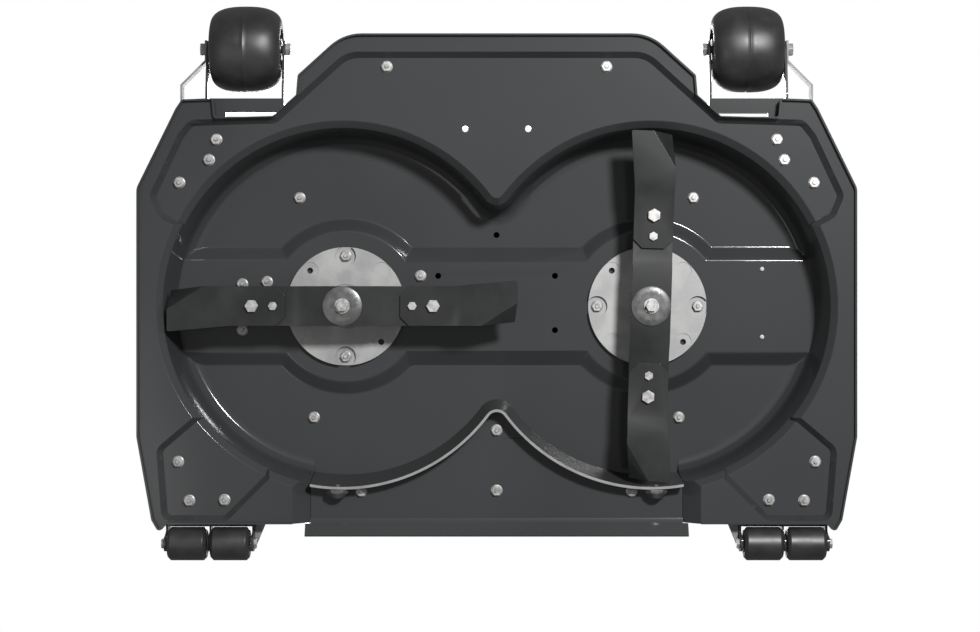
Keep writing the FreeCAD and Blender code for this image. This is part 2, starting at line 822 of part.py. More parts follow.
def cusp_plate():
    front = cusp_tip - float(s.cusp_radius)
    strap_rear = panel_bolt_spots[1][1] - 16
    corners = [(-60.0, cusp_bolt_behind - 26), (-18.0, cusp_bolt_behind - 26), (-18.0, strap_rear),
               (18.0, strap_rear), (18.0, cusp_bolt_behind - 26), (60.0, cusp_bolt_behind - 26),
               (60.0, front + 12), (-60.0, front + 12)]
    plate = prism(rounded([(x, y, 0) for x, y in corners]), panel_top, cusp_plate_top)
    plate = plate.cut(eight_block(baffle_sheet + baffle_gap, 0.0, 2 * panel_low))
    return with_square_holes(plate, [panel_bolt_spots[1], (0.0, cusp_bolt_behind)], 0.0, 2 * panel_low)


def panel_bolts():
    """Bolts through the panel into the feet of the baffle and into the cusp plate's strap."""
    foot_top = panel_top + baffle_sheet
    group = [bolt(x, y, panel_low, foot_top if x else cusp_plate_top) for x, y in panel_bolt_spots]
    group.append(bolt(0, cusp_bolt_behind, panel_top, cusp_plate_top + baffle_sheet))
    return Part.makeCompound(group)


shaped("discharge_baffle", discharge_baffle())
shaped("baffle_knobs", baffle_knobs())
shaped("rear_panel", rear_panel())
shaped("cusp_plate", cusp_plate())
shaped("panel_bolts", panel_bolts())

# The spindle housings and their bearings

ring_radius = s.disc_bolt_circle / 2
pocket_top = disc_face + s.pocket_depth
shoulder_low = s.housing_base + s.bearing_inset + s.bearing_width
shoulder_high = s.housing_top - s.bearing_inset - s.bearing_width


def spindle_housing(label, side):
    wall = s.bearing_radius + s.housing_wall
    body = turned(label, [
        (s.bearing_radius, s.housing_base),
        (wall, s.housing_base),
        (wall, disc_face - 3.0),
        (wall + 3.0, disc_face),
        (s.disc_radius, disc_face),
        (s.disc_radius, boss_height),
        (hub_hole - 3.0, boss_height),
        (wall, s.housing_top),
        (s.bearing_radius, s.housing_top),
        (s.bearing_radius, shoulder_high),
        (s.bearing_shoulder, shoulder_high),
        (s.bearing_shoulder, shoulder_low),
        (s.bearing_radius, shoulder_low),
    ])
    document.recompute()
    recess_cut = drill(body, disc_face, s.pocket_depth, [(ring_radius, 0.0, s.pocket_radius)])
    document.recompute()
    hole = drill(body, disc_face, s.disc_thickness, [(ring_radius, 0.0, s.neck * 0.75)])
    document.recompute()
    diagonal = ring_radius * math.sqrt(0.5)
    pad = drill(body, disc_face, 1.2, [(diagonal, diagonal, 14.0)])
    ring_of(body, [recess_cut, hole, pad], 4)
    drill(body, disc_face, s.disc_thickness, [(diagonal, diagonal, 5.0), (-diagonal, -diagonal, 5.0)])
    place(body, x=side * spindle_side)


def bearing_rings():
    rings = []
    for side in (1, -1):
        for low in (s.housing_base + s.bearing_inset, shoulder_high):
            foot = Vector(side * float(spindle_side), 0, float(low))
            head = foot + Vector(0, 0, float(s.bearing_width))
            bore = rod(s.shaft_radius + s.bearing_slack, foot, head)
            rings.append(rod(s.bearing_radius, foot, head).cut(bore))
    return Part.makeCompound(rings)


spindle_housing("spindle_housing_left", 1)
spindle_housing("spindle_housing_right", -1)
shaped("spindle_bearings", bearing_rings())
ring_offsets = [(ring_radius, 0.0), (-ring_radius, 0.0), (0.0, ring_radius), (0.0, -ring_radius)]
housing_spots = [(side * float(spindle_side) + float(dx), float(dy))
                 for side in (1, -1) for dx, dy in ring_offsets]
shaped("housing_bolts", Part.makeCompound(bolts(housing_spots, pocket_top, boss_height + s.sheet)))

# The turning spindles: shaft, timing pulley, drive sheave, blade carrier and tips

pulley_top = s.pulley_height + s.belt_width + 2.0 + 2 * s.pulley_flange
teeth_low = s.pulley_height + s.pulley_flange
belt_low = teeth_low + 1.0
sheave_top = s.sheave_height + s.sheave_width
shoulder = s.housing_base + s.running_gap
nut_room = 8.0


def spindle_shaft(label, side, nut_base):
    neck = s.shaft_radius + 3.5
    thread = s.shaft_radius - 2.5
    body = turned(label, [
        (s.blade_bolt_radius, carrier_top),
        (s.hub_radius, carrier_top),
        (s.hub_radius, carrier_top + s.hub_height),
        (neck, carrier_top + s.hub_height + 6.0),
        (neck, shoulder),
        (s.shaft_radius, shoulder),
        (s.shaft_radius, nut_base),
        (thread, nut_base),
        (thread, nut_base + nut_room + 2.0),
        (0.0, nut_base + nut_room + 2.0),
        (0.0, carrier_top + 34.0),
        (s.blade_bolt_radius, carrier_top + 34.0),
    ])
    place(body, x=side * spindle_side)


def timing_pulley(label, side):
    flange = tip_circle + 6.0
    body = turned(label, [
        (s.shaft_radius, s.housing_top + s.running_gap),
        (s.shaft_radius + 5.5, s.housing_top + s.running_gap),
        (s.shaft_radius + 5.5, s.pulley_height),
        (flange, s.pulley_height),
        (flange, teeth_low),
        (tip_circle, teeth_low),
        (tip_circle, pulley_top - s.pulley_flange),
        (flange, pulley_top - s.pulley_flange),
        (flange, pulley_top),
        (s.shaft_radius, pulley_top),
    ])
    document.recompute()
    sketch = sketch_on(body, "XY_Plane", teeth_low)
    mouth = s.tooth_pitch * 0.3
    floor = s.tooth_pitch * 0.14
    draw_outline(sketch, [(root_circle, -floor), (tip_circle + 1.0, -mouth), (tip_circle + 1.0, mouth),
                          (root_circle, floor)])
    gap = body.newObject("PartDesign::Pocket", "Gap")
    gap.Profile = sketch
    gap.Reversed = True
    set_size(gap, Length=s.belt_width + 2.0)
    ring_of(body, [gap], s.tooth_count)
    place(body, x=side * spindle_side)


def drive_sheave(label, side):
    middle = s.sheave_height + s.sheave_width / 2
    root = s.sheave_radius - s.sheave_groove
    body = turned(label, [
        (s.shaft_radius, pulley_top),
        (s.shaft_radius + 5.5, pulley_top),
        (s.shaft_radius + 5.5, s.sheave_height),
        (s.sheave_radius, s.sheave_height),
        (s.sheave_radius, s.sheave_height + 2.0),
        (root, middle - 2.5),
        (root, middle + 2.5),
        (s.sheave_radius, sheave_top - 2.0),
        (s.sheave_radius, sheave_top),
        (s.shaft_radius, sheave_top),
    ])
    place(body, x=side * spindle_side)


def spindle_nut(label, side, base):
    thread = float(s.shaft_radius) - 2.5
    base = float(base)
    nut = hexagon(28.0, base, base + nut_room)
    shape = nut.cut(rod(thread, Vector(0, 0, base), Vector(0, 0, base + nut_room)))
    shaped(label, shape, x=side * spindle_side)


def blade_carrier(label, side, turn):
    half = s.carrier_length / 2
    rise = s.carrier_joggle
    thick = s.carrier_thickness
    flat = s.hub_radius + 30.0
    outline = [(-half, end_height), (-flat - 18.0, end_height), (-flat, s.blade_height),
               (flat, s.blade_height), (flat + 18.0, end_height), (half, end_height),
               (half, end_height + thick), (flat + 17.0, end_height + thick),
               (flat - 1.0, carrier_top), (-flat + 1.0, carrier_top),
               (-flat - 17.0, end_height + thick), (-half, end_height + thick)]
    body = folded(label, "XZ_Plane", outline, s.carrier_width)
    document.recompute()
    drill(body, s.blade_height, rise + thick, [
        (0.0, 0.0, s.blade_bolt_radius),
        (s.pivot_reach, 0.0, s.pivot_radius + s.neck_slack),
        (-s.pivot_reach, 0.0, s.pivot_radius + s.neck_slack),
        (s.shear_reach, 0.0, s.shear_radius + s.neck_slack),
        (-s.shear_reach, 0.0, s.shear_radius + s.neck_slack),
    ])
    place(body, x=side * spindle_side, turn=turn)


def blade_tip():
    """One break-away tip: flat root, joggled down, sharpened in front, its rear corner folded up."""
    root_top = float(end_height)
    thick = float(s.tip_thickness)
    drop = float(s.tip_drop)
    start = float(s.tip_start)
    bend = float(s.tip_bend)
    end = float(s.blade_length) / 2
    half = float(s.carrier_width) / 2
    flare = float(s.tip_flare)
    run = 2 * drop
    low = root_top - thick
    side_view = [(start, low), (bend, low), (bend + run, low - drop), (end, low - drop),
                 (end, low - drop + thick), (bend + run + 1, low - drop + thick), (bend + 1, root_top),
                 (start, root_top)]
    wire = Part.makePolygon([Vector(x, -2 * half, z) for x, z in side_view + side_view[:1]])
    strip = Part.Face(wire).extrude(Vector(0, 4 * half, 0))
    fold_start = Vector(bend + 0.42 * (end - bend), half, low - drop)
    fold_end = Vector(end, -0.15 * half, low - drop)
    plan = [(start, -0.55 * half, 4), (start + 14, -half, 6), (bend, -half, 0), (end, -half - flare, 3),
            (end, fold_end.y, 0), (fold_start.x, half, 0), (start + 14, half, 6), (start, 0.55 * half, 4)]
    blade = strip.common(prism(rounded(plan), 0.0, 2 * root_top))
    wing = prism(Part.makePolygon([Vector(fold_start.x, half, 0), Vector(end, fold_end.y, 0),
                                   Vector(end, half, 0), Vector(fold_start.x, half, 0)]),
                 low - drop, low - drop + thick)
    wing.rotate(fold_start, fold_start - fold_end, -float(s.wing_angle))
    blade = blade.fuse(wing)
    edge_start = Vector(bend + run, -half - flare * run / (end - bend), low - drop)
    along = Vector(end + 10, -half - flare * (end + 10 - bend) / (end - bend), low - drop) - edge_start
    ground = [(-4.0, -0.1), (-4.0, 10.0), (27.8, 10.0)]
    wire = Part.makePolygon([edge_start + Vector(0, y, z) for y, z in ground + ground[:1]])
    blade = blade.cut(Part.Face(wire).extrude(along))
    for reach, radius in ((s.pivot_reach, s.pivot_radius), (s.shear_reach, s.shear_radius)):
        foot = Vector(float(reach), 0, 0)
        blade = blade.cut(rod(radius + s.neck_slack, foot, foot + Vector(0, 0, 2 * root_top)))
    return blade


def blade_tips(name, side, turn):
    for mark, half_turn in (("a", 0.0), ("b", 180.0)):
        shaped(f"blade_tip_{name}_{mark}", blade_tip(), x=side * spindle_side, turn=turn + half_turn)


def tip_bolts(label, side, turn):
    """A large pivot bolt and a small shear bolt through each end of the carrier."""
    under = float(end_height - s.tip_thickness)
    over = float(end_height + s.carrier_thickness)
    bolts = []
    sizes = ((s.pivot_reach, s.pivot_radius, 19.0), (s.shear_reach, s.shear_radius, 13.0))
    for reach, radius, flats in sizes:
        for x in (float(reach), -float(reach)):
            shank = rod(radius, Vector(x, 0, under - 1), Vector(x, 0, over + 1))
            head = hexagon(flats, under - 0.35 * flats, under, x)
            nut = hexagon(flats, over, over + 0.42 * flats, x)
            bolts.append(shank.fuse([head, nut]))
    shaped(label, Part.makeCompound(bolts), x=side * spindle_side, turn=turn)


def cup_washer(label, side):
    low = s.blade_height - 5.0
    body = turned(label, [
        (s.blade_bolt_radius, low),
        (s.cup_radius - 10.0, low),
        (s.cup_radius, low + 3.0),
        (s.cup_radius, s.blade_height),
        (s.blade_bolt_radius, s.blade_height),
    ])
    place(body, x=side * spindle_side)


def blade_bolt(label, side):
    seat = float(s.blade_height) - 5.0
    flange = rod(12.5, Vector(0, 0, seat - 2.5), Vector(0, 0, seat))
    head = hexagon(17.0, seat - 9.0, seat - 2.0)
    shank = rod(s.blade_bolt_radius, Vector(0, 0, seat - 1), Vector(0, 0, float(carrier_top) + 30))
    shaped(label, flange.fuse([head, shank]), x=side * spindle_side)


def spindle(name, side, turn, driven):
    nut_base = sheave_top if driven else pulley_top
    spindle_shaft("spindle_shaft_" + name, side, nut_base)
    timing_pulley("timing_pulley_" + name, side)
    if driven:
        drive_sheave("drive_sheave", side)
    spindle_nut("spindle_nut_" + name, side, nut_base)
    blade_carrier("blade_carrier_" + name, side, turn)
    blade_tips(name, side, turn)
    tip_bolts("tip_bolts_" + name, side, turn)
    cup_washer("cup_washer_" + name, side)
    blade_bolt("blade_bolt_" + name, side)


spindle("left", 1, s.left_blade_turn, False)
spindle("right", -1, s.right_blade_turn, True)

# The timing belt, its idler and the cover over them

belt_inside = tip_circle + s.belt_slack
belt_outside = belt_inside + s.belt_back
idler_ahead = belt_outside + s.belt_slack + s.idler_radius
shelf = s.pulley_height - 2.0


def stadium(radius, low, high):
    side = float(spindle_side)
    radius = float(radius)
    ends = [rod(radius, Vector(x, 0, float(low)), Vector(x, 0, float(high))) for x in (-side, side)]
    return block(-side, side, -radius, radius, low, high).fuse(ends).removeSplitter()


def waisted(grow, low, high, lean):
    """The cover's outline with its waist, grown by a distance, its walls leaning in by a slope."""
    radius = cover_reach
    waist = radius - float(s.waist_depth)
    side = float(spindle_side)
    hollow = (side ** 2 + waist ** 2 - radius ** 2) / (2 * (radius - waist))
    reach = waist + hollow
    drop = lean * (high - low)
    upright = Vector(0, 0, 1)
    corners = [Vector(-side, 0, 0), Vector(0, reach, 0), Vector(side, 0, 0), Vector(0, -reach, 0)]
    web = prism(Part.makePolygon(corners + corners[:1]), low, high)
    for y in (reach, -reach):
        web = web.cut(standing_cone(hollow - grow, hollow - grow + drop, low, high, 0.0, y))
    ends = [standing_cone(radius + grow, radius + grow - drop, low, high, x, 0.0) for x in (-side, side)]
    return ends[0].fuse([ends[1], web]).removeSplitter()


def standing_cone(lower, upper, low, high, x, y):
    if abs(lower - upper) < 1e-9:
        return rod(lower, Vector(x, y, low), Vector(x, y, high))
    return Part.makeCone(lower, upper, high - low, Vector(x, y, low), Vector(0, 0, 1))


def belt_cover():
    """A moulded cover with a waist, open below, on four feet that stand in the sunken bar."""
    wall = float(s.cover_wall)
    low = float(top_face)
    high = float(s.cover_height)
    lean = math.tan(math.radians(float(s.cover_draft)))
    cover = waisted(0.0, low, high, lean).fuse(waisted(float(s.cover_rim), low, low + wall, 0.0))
    for x, y in cover_spots:
        foot = Vector(x, y, float(boss_height + s.sheet))
        inward = -40.0 if x > 0 else 40.0
        arm = block(min(x, x + inward), max(x, x + inward), y - 9, y + 9, low, low + wall)
        cover = cover.fuse([rod(9.0, foot, Vector(x, y, low + wall)), arm])
    cover = cover.cut(waisted(-wall, low - 1, high - wall, lean))
    side = float(spindle_side)
    cover = cover.cut(rod(s.cover_mouth, Vector(-side, 0, low), Vector(-side, 0, 2 * high)))
    cover = with_square_holes(cover, cover_screw_spots, 0.0, 2 * high, s.screw_flats)
    return with_square_holes(cover, cover_nut_spots, 0.0, 2 * high)


belt_high = belt_low + s.belt_width
bar_top = boss_height + s.sheet
bent = s.bracket_plate
upright_ahead = s.bar_width / 2 - 1.0
belt = stadium(belt_outside, belt_low, belt_high).cut(stadium(belt_inside, belt_low, belt_high))
shaped("timing_belt", belt)
idler_bracket = folded("idler_bracket", "YZ_Plane", [
    (idler_bolt_ahead - 12.0, bar_top),
    (upright_ahead, bar_top),
    (upright_ahead, shelf),
    (idler_ahead - 14.0, shelf),
    (idler_ahead - 14.0, shelf - bent),
    (upright_ahead - bent, shelf - bent),
    (upright_ahead - bent, bar_top + bent),
    (idler_bolt_ahead - 12.0, bar_top + bent),
], 2 * s.idler_radius)
document.recompute()
drill(idler_bracket, bar_top, bent, [(0.0, idler_bolt_ahead, s.neck * 0.75)])
document.recompute()
stud_sketch = sketch_on(idler_bracket, "XY_Plane", shelf)
draw_circle(stud_sketch, 0.0, idler_ahead, s.idler_bolt_radius)
stud = idler_bracket.newObject("PartDesign::Pad", "Stud")
stud.Profile = stud_sketch
set_size(stud, Length=s.belt_width + 10.0)
place(idler_bracket, x=idler_side)
idler = turned("idler_pulley", [
    (s.idler_bolt_radius + s.bearing_slack, shelf + s.running_gap),
    (s.idler_radius + 3.0, shelf + s.running_gap),
    (s.idler_radius + 3.0, belt_low - 0.5),
    (s.idler_radius, belt_low - 0.5),
    (s.idler_radius, belt_high + 0.5),
    (s.idler_bolt_radius + s.bearing_slack, belt_high + 0.5),
])
place(idler, x=idler_side, y=idler_ahead)
shaped("belt_cover", belt_cover())
cover_group = bolts(cover_nut_spots, boss_height, top_face + s.cover_wall)
cover_top = top_face + s.cover_wall
cover_group += [bolt(x, y, boss_height, cover_top, s.screw_flats) for x, y in cover_screw_spots]
cover_group += bolts([(idler_side, idler_bolt_ahead)], boss_height, bar_top + bent)
cover_group += bolts([plug_spot], boss_height, bar_top)
shaped("cover_bolts", Part.makeCompound(cover_group))

# Hangers on the top side

hanger_plate = float(s.hanger_plate)
front_ear_side = 47.0


def ear(x, middle, half, low, high, radius):
    """An upright ear with two rounded corners, its near face at x."""
    outline = [(middle - half, low, 0), (middle + half, low, 0), (middle + half, high, radius),
               (middle - half, high, radius)]
    return side_plate(outline, x, hanger_plate)


def front_hanger():
    """A strip bolted along the front flat, with two ears for the front lifting rod."""
    ahead = float(hanger_ahead)
    low = float(flat_top)
    side = float(s.hanger_half)
    half = 18.0
    strip = prism(rounded(both_sides([(side + 27, ahead + half, 8), (side + 27, ahead - half, 8)])),
                  low, low + hanger_plate)
    ears = [ear(x, ahead, half, low, low + 56, 14) for x in (front_ear_side, -front_ear_side - hanger_plate)]
    hanger = strip.fuse(ears)
    hole = Vector(0, ahead, low + 38)
    hanger = hanger.cut(rod(s.hanger_bore_radius, hole - Vector(80, 0, 0), hole + Vector(80, 0, 0)))
    return with_square_holes(hanger, both([(side, ahead)]), 0.0, 2 * low)


def lift_bracket(x, y, at_front):
    """A folded angle on the deck top with one ear for a lifting link, its bolt off the middle."""
    low = float(top_face)
    half = 20.0
    inner, middle = (x - 10, y + 7) if at_front else (x - 14, y - 7)
    outer = inner + 34
    foot = block(inner, outer, middle - half, middle + half, low, low + hanger_plate)
    bracket = foot.fuse(ear(outer - hanger_plate, middle, half, low, low + 44, 12))
    hole = Vector(inner, middle, low + 28)
    bracket = bracket.cut(rod(s.hanger_bore_radius, hole, hole + Vector(2 * half, 0, 0)))
    return with_square_holes(bracket, [(x, y)], 0.0, 2 * low)


shaped("front_hanger", front_hanger())
for name, (x, y) in lift_spots.items():
    angle = lift_bracket(x, y, name == "front")
    shaped(f"lift_bracket_{name}_left", angle)
    shaped(f"lift_bracket_{name}_right", mirrored(angle))
hanger_group = bolts(both([(s.hanger_half, hanger_ahead)]), s.flat_height, flat_top + hanger_plate)
hanger_group += bolts(both(lift_spots.values()), s.top_height, top_face + hanger_plate)
shaped("hanger_bolts", Part.makeCompound(hanger_group))

# The gauge wheels and what carries them

plate = float(s.bracket_plate)
axle_height = float(s.wheel_radius)
axle_ahead = float(wheel_ahead)


def brace_bolt_hole():
    spot = Vector(brace_side - 20, brace_bolt_ahead, axle_height)
    return rod(s.neck / 2, spot, spot + Vector(40, 0, 0))


def wheel_bracket():
    """The left bracket: base on the corner pad, cross bar over the notch and a fork for the wheel."""
    low = float(flat_top)
    bar_front = float(cross_bar_ahead + s.cross_bar_depth / 2)
    bar_rear = float(cross_bar_ahead - s.cross_bar_depth / 2)
    inner = float(wheel_inner) - plate
    outer = float(wheel_outer)
    corners = [by_front_corner(141.0, 139.5), by_front_corner(64.0, 139.5), by_front_corner(64.0, 177.5),
               by_front_corner(51.0, 239.5), by_chamber(25.5, 33.7), by_chamber(14.0, 39.4),
               by_chamber(17.0, 52.9)]
    base = [(x, y, radius) for (x, y), radius in zip(corners, (0, 0, 6, 8, 8, 8, 8))]
    base = prism(rounded(base), low, low + plate)
    tongue_side, base_front = by_front_corner(141.0, 139.5)
    tongue = block(tongue_side, outer + plate, base_front - 4, bar_rear + 1, low, low + plate)
    bar = block(inner, outer + plate, bar_rear, bar_front, low, low + 22)
    fork = [(bar_rear, low, 2), (bar_front + 8, low, 8), (axle_ahead + 5, axle_height - 18, 16),
            (axle_ahead + 18, axle_height, 16), (axle_ahead + 5, axle_height + 18, 16),
            (axle_ahead - 13, axle_height + 18, 10), (bar_front + 3, low + 26, 10), (bar_rear, low + 26, 4)]
    arms = [side_plate(fork, inner, plate), side_plate(fork, outer, plate)]
    ear = block(brace_side - plate, brace_side, brace_rear - 4, base_front, low + 1, low + 44)
    bracket = base.fuse([tongue, bar, ear] + arms)
    centre = Vector(0, axle_ahead, axle_height)
    bracket = bracket.cut(rod(s.wheel_axle_radius, centre, centre + Vector(float(deck_side), 0, 0)))
    bracket = bracket.cut(brace_bolt_hole())
    return with_square_holes(bracket, wheel_bolt_spots, 0.0, 2 * low)


def wheel_brace():
    """A plated strap from the axle's outer end back to the ear on the bracket's base."""
    outer = float(wheel_outer) + plate
    lower_bend = float(deck_front) - 79.5
    upper_bend = float(deck_front) - 39.5
    run = [(brace_side, brace_rear), (brace_side, lower_bend), (outer, upper_bend), (outer, axle_ahead + 14)]
    shape = strap(run, -float(s.brace_thickness), axle_height - 11, axle_height + 11)
    centre = Vector(0, axle_ahead, axle_height)
    shape = shape.cut(rod(s.wheel_axle_radius, centre, centre + Vector(float(deck_side), 0, 0)))
    return shape.cut(brace_bolt_hole())


def along_x(shape):
    """Turn a shape that stands on its end so that it lies along X."""
    shape.rotate(Vector(0, 0, 0), Vector(0, 1, 0), 90)
    return shape


def cross_bolt(radius, flats, start, end, y, z, head):
    """A bolt along X with a hexagon at each end, gripping from start to end."""
    shank = rod(radius, Vector(start - 1, y, z), Vector(end + 1, y, z))
    ends = []
    for base in (start - head, end):
        block_end = along_x(hexagon(flats, 0.0, head))
        block_end.translate(Vector(base, y, z))
        ends.append(block_end)
    return shank.fuse(ends)


def gauge_wheel(label, side):
    """A barrel-shaped rubber wheel, turned about its axle, with a recess and hub in each side."""
    half = s.wheel_width / 2
    rim = s.wheel_radius
    bore = s.wheel_axle_radius + s.wheel_slack
    quarter = [(half, bore), (half, bore + 11.0), (half - 9.0, bore + 13.0), (half - 9.0, rim - 38.0),
               (half, rim - 35.0)]
    for step in range(SHOULDER_STEPS + 1):
        angle = math.pi / 2 * step / SHOULDER_STEPS
        quarter.append((half - s.wheel_shoulder * (1 - math.cos(angle)),
                        rim - 3.0 - s.wheel_shoulder * (1 - math.sin(angle))))
    quarter.append((half / 4, rim))
    wheel = turned(label, quarter + [(-x, radius) for x, radius in reversed(quarter)], "H_Axis")
    place(wheel, x=side * wheel_side, y=wheel_ahead, z=s.wheel_radius)


brace_side = float(deck_side - s.brace_inset)
brace_rear = float(deck_front) - 189.5
brace_bolt_ahead = float(deck_front) - 161.5
brace_outside = brace_side + float(s.brace_thickness)
axle_end = float(wheel_outer) + plate + float(s.brace_thickness)
wheel_axle = cross_bolt(s.wheel_axle_radius, 19.0, float(wheel_inner) - plate, axle_end, axle_ahead,
                        axle_height, 8.0)
for name, side in (("left", 1), ("right", -1)):
    for label, shape in (("wheel_bracket_", wheel_bracket()), ("wheel_brace_", wheel_brace()),
                         ("wheel_axle_", wheel_axle)):
        shaped(label + name, shape if side > 0 else mirrored(shape))
    gauge_wheel("gauge_wheel_" + name, side)
brace_bolt = cross_bolt(s.neck / 2, 13.0, brace_side - plate, brace_outside, brace_bolt_ahead,
                        axle_height, 6.0)
wheel_group = bolts(both(wheel_bolt_spots), s.flat_height, flat_top + s.bracket_plate)
wheel_group += [brace_bolt, mirrored(brace_bolt)]
shaped("wheel_bracket_bolts", Part.makeCompound(wheel_group))

# The rear rollers and what carries them

roller_height = float(s.roller_radius)
roller_rear = -float(roller_behind)
end_face = float(roller_half) + 2.0
cheek_inner = float(roller_side) - end_face - plate
cheek_outer = float(roller_side) + end_face
deck_edge = -float(deck_rear)


def roller_bracket():
    """The left bracket: base on the rear pad, cross plate and three cheeks that hold the axle."""
    low = float(flat_top)
    middle = float(roller_side - s.middle_cheek / 2)
    far = cheek_outer + plate
    corners = [(51.0, 112.0, 10), (76.0, 124.0, 8), (101.0, 64.0, 8), (151.0, 56.0, 8)]
    base = [(cheek_inner, deck_edge - 5.5, 0), (far, deck_edge - 5.5, 0)]
    base += [(*by_rear_corner(inset, setback), radius) for inset, setback, radius in corners]
    base = prism(rounded(base + [(cheek_inner, deck_edge + 20, 0)]), low, low + plate)
    cross = block(cheek_inner, far, deck_edge + 2, deck_edge + 6, low, low + 28)
    cheek = [(deck_edge + 34, low, 2), (deck_edge - 14, low + 2, 4), (deck_edge - 19, low - 10, 2),
             (roller_rear + 10, 14, 8), (roller_rear - 11, 14, 10), (roller_rear - 14, low, 12),
             (roller_rear + 4, low + 28, 10), (deck_edge + 34, low + 28, 6)]
    cheeks = [side_plate(cheek, cheek_inner, plate), side_plate(cheek, middle, s.middle_cheek),
              side_plate(cheek, cheek_outer, plate)]
    bracket = base.fuse([cross] + cheeks)
    centre = Vector(0, roller_rear, roller_height)
    bracket = bracket.cut(rod(s.roller_axle_radius, centre, centre + Vector(float(deck_side), 0, 0)))
    return with_square_holes(bracket, roller_bolt_spots, 0.0, 2 * low)


def roller_gusset():
    """A plated three-cornered plate between the deck's rear edge and the inner cheek."""
    low = float(flat_top) + plate + 2
    corners = [(cheek_inner, deck_edge + 4, 0), (cheek_inner, roller_rear - 12, 0),
               (cheek_inner - 20, deck_edge + 4, 3)]
    return prism(rounded(corners), low, low + 3)


roller_axle = cross_bolt(s.roller_axle_radius, 15.0, cheek_inner, cheek_outer + plate, roller_rear,
                         roller_height, 5.0)
for name, side in (("left", 1), ("right", -1)):
    for label, shape in (("roller_bracket_", roller_bracket()), ("roller_gusset_", roller_gusset()),
                         ("roller_axle_", roller_axle)):
        shaped(label + name, shape if side > 0 else mirrored(shape))
    for place_name, offset in (("outer", 1), ("inner", -1)):
        half = s.roller_length / 2
        bore = s.roller_axle_radius + s.wheel_slack
        roller = turned(f"roller_{name}_{place_name}", [
            (half, bore), (half, s.roller_radius - 5.0), (half - 5.0, s.roller_radius),
            (-half + 5.0, s.roller_radius), (-half, s.roller_radius - 5.0), (-half, bore)], "H_Axis")
        middle = roller_side + offset * (s.roller_length + s.roller_gap) / 2
        place(roller, x=side * middle, y=-roller_behind, z=s.roller_radius)
roller_group = bolts(both(roller_bolt_spots), s.flat_height, flat_top + s.bracket_plate)
shaped("roller_bracket_bolts", Part.makeCompound(roller_group))

# Check every piece and write it out

document.recompute()
failed = [item.Name for item in document.Objects if {"Invalid", "Error"} & set(item.State)]
for item in made:
    if item.Shape.isNull() or not item.Shape.isValid():
        failed.append(item.Label)
if failed:
    raise RuntimeError("failed: " + ", ".join(failed))
os.makedirs("parts", exist_ok=True)
for item in made:
    item.Shape.exportStep(f"parts/{item.Label}.step")
print(len(made), "pieces")
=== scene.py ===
# %% [markdown]
# # Twin-blade mower deck, seen from below
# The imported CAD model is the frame. This script gives it finishes, rounded edges, smooth tyres, nut
# flanges, lamps and the camera of the photograph. Lengths are in metres, +Z is up, +Y is the front.

# %% Setup
import json
import math

import bmesh
import bpy
from mathutils import Matrix, Vector


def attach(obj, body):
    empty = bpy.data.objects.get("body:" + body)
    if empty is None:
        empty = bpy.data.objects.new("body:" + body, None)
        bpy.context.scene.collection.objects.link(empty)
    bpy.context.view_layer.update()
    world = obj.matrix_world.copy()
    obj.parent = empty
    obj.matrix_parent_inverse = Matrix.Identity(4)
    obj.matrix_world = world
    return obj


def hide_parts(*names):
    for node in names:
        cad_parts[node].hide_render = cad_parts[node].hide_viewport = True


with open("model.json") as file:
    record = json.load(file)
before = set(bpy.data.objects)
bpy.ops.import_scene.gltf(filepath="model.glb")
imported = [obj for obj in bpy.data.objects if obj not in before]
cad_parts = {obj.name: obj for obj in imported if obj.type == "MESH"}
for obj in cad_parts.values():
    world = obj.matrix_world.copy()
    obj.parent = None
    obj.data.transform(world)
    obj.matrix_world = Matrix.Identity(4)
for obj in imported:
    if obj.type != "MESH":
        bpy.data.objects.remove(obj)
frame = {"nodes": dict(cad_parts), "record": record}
scene = bpy.context.scene
nodes = frame["nodes"]
record = frame["record"]
SLOT_OF = {row["node"]: row["material_slot"] for row in record["subparts"]}
BODY_OF = {node: body for body, members in record["behaviour"]["bodies"].items() for node in members}


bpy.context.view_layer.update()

# %% Shader maths


class Socket:
    """A number that comes out of a node tree and goes into sums, products and powers."""

    def __init__(self, tree, value):
        self.tree = tree
        self.value = value

    def _maths(self, operation, *others):
        node = self.tree.nodes.new("ShaderNodeMath")
        node.operation = operation
        for slot, term in zip(node.inputs, (self, *others)):
            term = term.value if isinstance(term, Socket) else term
            if isinstance(term, bpy.types.NodeSocket):
                self.tree.links.new(term, slot)
            else:
                slot.default_value = term
        return Socket(self.tree, node.outputs[0])

    def __add__(self, other):
        return self._maths("ADD", other)

    def __sub__(self, other):
        return self._maths("SUBTRACT", other)

    def __mul__(self, other):
        return self._maths("MULTIPLY", other)

    def power(self, other):
        return self._maths("POWER", other)

    def absolute(self):
        return self._maths("ABSOLUTE")

    def between(self, low, high, to_low=0.0, to_high=1.0):
        """A smooth step from one value to another while this one goes from low to high."""
        node = self.tree.nodes.new("ShaderNodeMapRange")
        node.interpolation_type = "SMOOTHSTEP"
        self.tree.links.new(self.value, node.inputs["Value"])
        range_ends = {"From Min": low, "From Max": high, "To Min": to_low, "To Max": to_high}
        for name, number in range_ends.items():
            node.inputs[name].default_value = number
        return Socket(self.tree, node.outputs["Result"])


